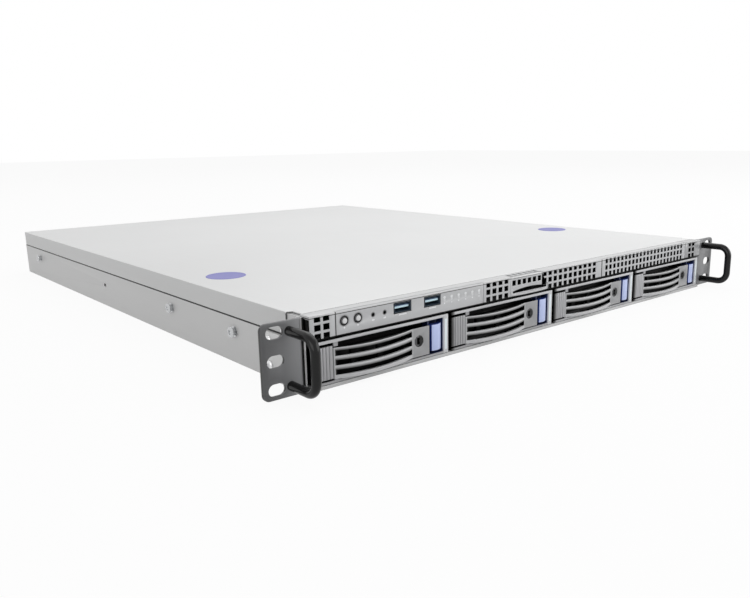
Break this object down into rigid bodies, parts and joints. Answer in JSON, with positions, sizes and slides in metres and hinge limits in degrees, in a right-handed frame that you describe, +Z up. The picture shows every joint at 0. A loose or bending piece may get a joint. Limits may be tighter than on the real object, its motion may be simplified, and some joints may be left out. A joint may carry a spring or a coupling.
{
  "type": "1u rack server",
  "caption": "Low rack-mount server with front drive trays behind bowed lever doors, a pierced band above them, slotted ears with handles, and fans, boards and supply inside.",
  "frame": {"origin": "centre of the overall bounding box in plan, at the underside of the chassis floor", "axes": "+X to the right seen from the front, +Y from the front handles to the back, +Z up"},
  "size_m": [0.4826, 0.5824, 0.0439],
  "materials": {
    "zinc_sheet": "satin zinc-plated sheet",
    "ear_paint": "dark grey satin paint",
    "handle_black": "gloss black enamel",
    "bezel_grey": "satin grey paint",
    "tray_grey": "satin moulded grey plastic",
    "latch_blue": "satin dark blue plastic",
    "pad_blue": "matt lavender-blue plastic",
    "socket_blue": "pale blue plastic",
    "light_clear": "milky light pipe",
    "bright_metal": "bright plated",
    "board_green": "circuit board with solder mask",
    "black_plastic": "black moulded plastic",
    "cast_drive": "cast and machined aluminium",
    "fin_metal": "plain aluminium",
    "lock_metal": "satin plated"
  },
  "bodies": {
    "chassis": {"chassis_pan": "zinc_sheet", "rail_studs": "bright_metal", "rack_ears": "ear_paint", "handles": "handle_black", "handle_screws": "bright_metal", "ear_screws": "bright_metal", "front_grille": "bezel_grey", "control_panel": "bezel_grey", "control_board": "board_green", "usb_shells": "bright_metal", "usb_tongues": "socket_blue", "status_lights": "light_clear", "bay_panel": "bezel_grey", "drive_cage": "zinc_sheet", "drive_backplane": "board_green", "drive_connectors": "black_plastic", "fan_bracket": "zinc_sheet", "fan_frames": "black_plastic", "motherboard": "board_green", "board_standoffs": "bright_metal", "heatsinks": "fin_metal", "memory_sockets": "black_plastic", "memory_modules": "board_green", "riser_card": "board_green", "slot_bracket": "bright_metal", "rear_ports": "bright_metal", "supply_case": "zinc_sheet", "power_inlet": "black_plastic"},
    "cover": {"top_cover": "zinc_sheet", "cover_pads": "pad_blue"},
    "tag": {"pull_tag": "bezel_grey"},
    "power_key": {"power_button": "bezel_grey"},
    "reset_key": {"reset_button": "bezel_grey"},
    "supply_fan": {"supply_rotor": "black_plastic"},
    "fan_1": {"fan_rotor_1": "black_plastic"},
    "tray_1": {"tray_carrier_1": "tray_grey", "hard_drive_1": "cast_drive"},
    "lever_1": {"lever_door_1": "tray_grey"},
    "lock_1": {"lock_core_1": "lock_metal"},
    "latch_1": {"tray_latch_1": "latch_blue"},
    "fan_2": {"fan_rotor_2": "black_plastic"},
    "tray_2": {"tray_carrier_2": "tray_grey", "hard_drive_2": "cast_drive"},
    "lever_2": {"lever_door_2": "tray_grey"},
    "lock_2": {"lock_core_2": "lock_metal"},
    "latch_2": {"tray_latch_2": "latch_blue"},
    "fan_3": {"fan_rotor_3": "black_plastic"},
    "tray_3": {"tray_carrier_3": "tray_grey", "hard_drive_3": "cast_drive"},
    "lever_3": {"lever_door_3": "tray_grey"},
    "lock_3": {"lock_core_3": "lock_metal"},
    "latch_3": {"tray_latch_3": "latch_blue"},
    "fan_4": {"fan_rotor_4": "black_plastic"},
    "tray_4": {"tray_carrier_4": "tray_grey", "hard_drive_4": "cast_drive"},
    "lever_4": {"lever_door_4": "tray_grey"},
    "lock_4": {"lock_core_4": "lock_metal"},
    "latch_4": {"tray_latch_4": "latch_blue"}
  },
  "joints": [
    {"name": "cover_slide", "type": "slide", "parent": "chassis", "child": "cover", "axis": [0, 1, 0], "range_m": [0, 0.012]},
    {"name": "tag_slide", "type": "slide", "parent": "chassis", "child": "tag", "axis": [0, -1, 0], "range_m": [0, 0.06]},
    {"name": "power_press", "type": "slide", "parent": "chassis", "child": "power_key", "axis": [0, 1, 0], "range_m": [0, 0.0012], "stiffness_N_per_m": 400},
    {"name": "reset_press", "type": "slide", "parent": "chassis", "child": "reset_key", "axis": [0, 1, 0], "range_m": [0, 0.0012], "stiffness_N_per_m": 400},
    {"name": "supply_fan_spin", "type": "hinge", "parent": "chassis", "child": "supply_fan", "pos_m": [0.134, 0.271, 0.0212], "axis": [0, 1, 0], "continuous": true},
    {"name": "fan_spin_1", "type": "hinge", "parent": "chassis", "child": "fan_1", "pos_m": [-0.15, -0.0638, 0.0215], "axis": [0, 1, 0], "continuous": true},
    {"name": "tray_slide_1", "type": "slide", "parent": "chassis", "child": "tray_1", "axis": [0, -1, 0], "range_m": [0, 0.165]},
    {"name": "lever_swing_1", "type": "hinge", "parent": "tray_1", "child": "lever_1", "pos_m": [-0.1953, -0.2652, 0.014], "axis": [0, 0, -1], "range_deg": [0, 80]},
    {"name": "lock_turn_1", "type": "hinge", "parent": "lever_1", "child": "lock_1", "pos_m": [-0.1325, -0.2648, 0.0145], "axis": [0, -1, 0], "range_deg": [0, 90]},
    {"name": "latch_press_1", "type": "slide", "parent": "tray_1", "child": "latch_1", "axis": [0, 1, 0], "range_m": [0, 0.0025], "stiffness_N_per_m": 600},
    {"name": "fan_spin_2", "type": "hinge", "parent": "chassis", "child": "fan_2", "pos_m": [-0.088, -0.0638, 0.0215], "axis": [0, 1, 0], "continuous": true},
    {"name": "tray_slide_2", "type": "slide", "parent": "chassis", "child": "tray_2", "axis": [0, -1, 0], "range_m": [0, 0.165]},
    {"name": "lever_swing_2", "type": "hinge", "parent": "tray_2", "child": "lever_2", "pos_m": [-0.0895, -0.2652, 0.014], "axis": [0, 0, -1], "range_deg": [0, 80]},
    {"name": "lock_turn_2", "type": "hinge", "parent": "lever_2", "child": "lock_2", "pos_m": [-0.0267, -0.2648, 0.0145], "axis": [0, -1, 0], "range_deg": [0, 90]},
    {"name": "latch_press_2", "type": "slide", "parent": "tray_2", "child": "latch_2", "axis": [0, 1, 0], "range_m": [0, 0.0025], "stiffness_N_per_m": 600},
    {"name": "fan_spin_3", "type": "hinge", "parent": "chassis", "child": "fan_3", "pos_m": [-0.026, -0.0638, 0.0215], "axis": [0, 1, 0], "continuous": true},
    {"name": "tray_slide_3", "type": "slide", "parent": "chassis", "child": "tray_3", "axis": [0, -1, 0], "range_m": [0, 0.165]},
    {"name": "lever_swing_3", "type": "hinge", "parent": "tray_3", "child": "lever_3", "pos_m": [0.0163, -0.2652, 0.014], "axis": [0, 0, -1], "range_deg": [0, 80]},
    {"name": "lock_turn_3", "type": "hinge", "parent": "lever_3", "child": "lock_3", "pos_m": [0.0791, -0.2648, 0.0145], "axis": [0, -1, 0], "range_deg": [0, 90]},
    {"name": "latch_press_3", "type": "slide", "parent": "tray_3", "child": "latch_3", "axis": [0, 1, 0], "range_m": [0, 0.0025], "stiffness_N_per_m": 600},
    {"name": "fan_spin_4", "type": "hinge", "parent": "chassis", "child": "fan_4", "pos_m": [0.036, -0.0638, 0.0215], "axis": [0, 1, 0], "continuous": true},
    {"name": "tray_slide_4", "type": "slide", "parent": "chassis", "child": "tray_4", "axis": [0, -1, 0], "range_m": [0, 0.165]},
    {"name": "lever_swing_4", "type": "hinge", "parent": "tray_4", "child": "lever_4", "pos_m": [0.1221, -0.2652, 0.014], "axis": [0, 0, -1], "range_deg": [0, 80]},
    {"name": "lock_turn_4", "type": "hinge", "parent": "lever_4", "child": "lock_4", "pos_m": [0.1849, -0.2648, 0.0145], "axis": [0, -1, 0], "range_deg": [0, 90]},
    {"name": "latch_press_4", "type": "slide", "parent": "tray_4", "child": "latch_4", "axis": [0, 1, 0], "range_m": [0, 0.0025], "stiffness_N_per_m": 600}
  ]
}
